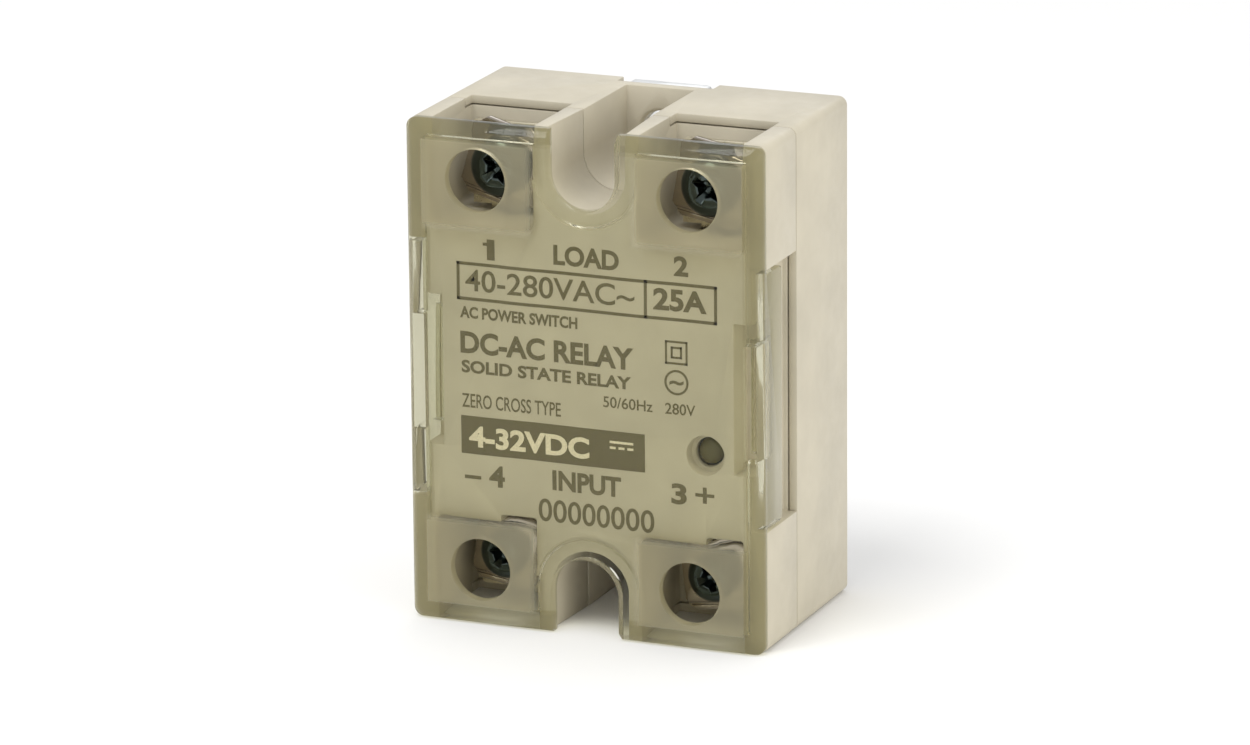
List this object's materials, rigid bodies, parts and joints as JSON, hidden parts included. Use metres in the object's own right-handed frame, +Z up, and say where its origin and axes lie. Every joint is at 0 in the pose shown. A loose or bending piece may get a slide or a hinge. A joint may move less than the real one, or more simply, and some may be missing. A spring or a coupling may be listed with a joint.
{
  "type": "solid state relay",
  "caption": "Compact panel-mount solid state relay: plastic case on an aluminium base plate, screw terminals in open pockets, clear smoky clip-on terminal cover and indicator lamp.",
  "frame": {"origin": "centre of the base plate's back face, the face that is screwed to the panel or heat sink", "axes": "+Z up along the long side with the load terminals at the top, -Y out of the front where the terminals and label are, +X to the right seen from the front"},
  "size_m": [0.0426, 0.027, 0.058],
  "materials": {
    "aluminium": "flat rolled plate, satin",
    "housing": "warm light beige moulding, fine matt texture",
    "smoky_cover": "clear smoky olive polycarbonate, glossy",
    "terminal_plating": "nickel-plated brass strip",
    "washer_plating": "bright nickel-plated steel",
    "screw_steel": "dark nickel-plated steel",
    "ceramic": "white fired alumina",
    "copper": "bare copper strip",
    "silicon": "polished silicon chip",
    "circuit_board": "green solder mask",
    "black_moulding": "black moulding compound",
    "resistor_body": "tan lacquer",
    "capacitor_case": "red-brown film capacitor case",
    "varistor_coating": "blue epoxy coating",
    "lamp_lens": "unlit tinted lamp lens"
  },
  "bodies": {
    "relay_body": {"base_plate": "aluminium", "rear_case": "housing", "terminal_block": "housing", "load_terminal_1": "terminal_plating", "load_terminal_2": "terminal_plating", "input_terminal_3": "terminal_plating", "input_terminal_4": "terminal_plating", "ceramic_substrate": "ceramic", "pad_1": "copper", "pad_2": "copper", "triac_chip": "silicon", "triac_clip": "copper", "control_board": "circuit_board", "gate_pin": "terminal_plating", "pad_pin_1": "terminal_plating", "pad_pin_2": "terminal_plating", "photocoupler": "black_moulding", "snubber_resistor": "resistor_body", "gate_resistor": "resistor_body", "input_resistor": "resistor_body", "input_diode": "black_moulding", "snubber_capacitor": "capacitor_case", "varistor": "varistor_coating", "drive_transistor": "black_moulding", "indicator_lamp": "lamp_lens"},
    "cover": {"terminal_cover": "smoky_cover"},
    "washer_1": {"load_washer_1": "washer_plating"},
    "washer_2": {"load_washer_2": "washer_plating"},
    "washer_3": {"input_washer_3": "washer_plating"},
    "washer_4": {"input_washer_4": "washer_plating"},
    "screw_1": {"load_screw_1": "screw_steel"},
    "screw_2": {"load_screw_2": "screw_steel"},
    "screw_3": {"input_screw_3": "screw_steel"},
    "screw_4": {"input_screw_4": "screw_steel"}
  },
  "joints": [
    {"name": "cover_slide", "type": "slide", "parent": "relay_body", "child": "cover", "axis": [0, -1, 0], "range_m": [0, 0.03]},
    {"name": "washer_lift_1", "type": "slide", "parent": "relay_body", "child": "washer_1", "axis": [0, -1, 0], "range_m": [0, 0.0028]},
    {"name": "washer_lift_2", "type": "slide", "parent": "relay_body", "child": "washer_2", "axis": [0, -1, 0], "range_m": [0, 0.0028]},
    {"name": "washer_lift_3", "type": "slide", "parent": "relay_body", "child": "washer_3", "axis": [0, -1, 0], "range_m": [0, 0.0024]},
    {"name": "washer_lift_4", "type": "slide", "parent": "relay_body", "child": "washer_4", "axis": [0, -1, 0], "range_m": [0, 0.0024]},
    {"name": "screw_turn_1", "type": "hinge", "parent": "washer_1", "child": "screw_1", "pos_m": [-0.01265, -0.019, 0.0225], "axis": [0, -1, 0], "range_deg": [0, 1440]},
    {"name": "screw_turn_2", "type": "hinge", "parent": "washer_2", "child": "screw_2", "pos_m": [0.01265, -0.019, 0.0225], "axis": [0, -1, 0], "range_deg": [0, 1440]},
    {"name": "screw_turn_3", "type": "hinge", "parent": "washer_3", "child": "screw_3", "pos_m": [0.01265, -0.019, -0.0225], "axis": [0, -1, 0], "range_deg": [0, 1440]},
    {"name": "screw_turn_4", "type": "hinge", "parent": "washer_4", "child": "screw_4", "pos_m": [-0.01265, -0.019, -0.0225], "axis": [0, -1, 0], "range_deg": [0, 1440]}
  ],
  "couplings": [
    {"joint": "screw_turn_1", "follows": "washer_lift_1", "rad_per_m": 8975.9},
    {"joint": "screw_turn_2", "follows": "washer_lift_2", "rad_per_m": 8975.9},
    {"joint": "screw_turn_3", "follows": "washer_lift_3", "rad_per_m": 10472},
    {"joint": "screw_turn_4", "follows": "washer_lift_4", "rad_per_m": 10472}
  ]
}
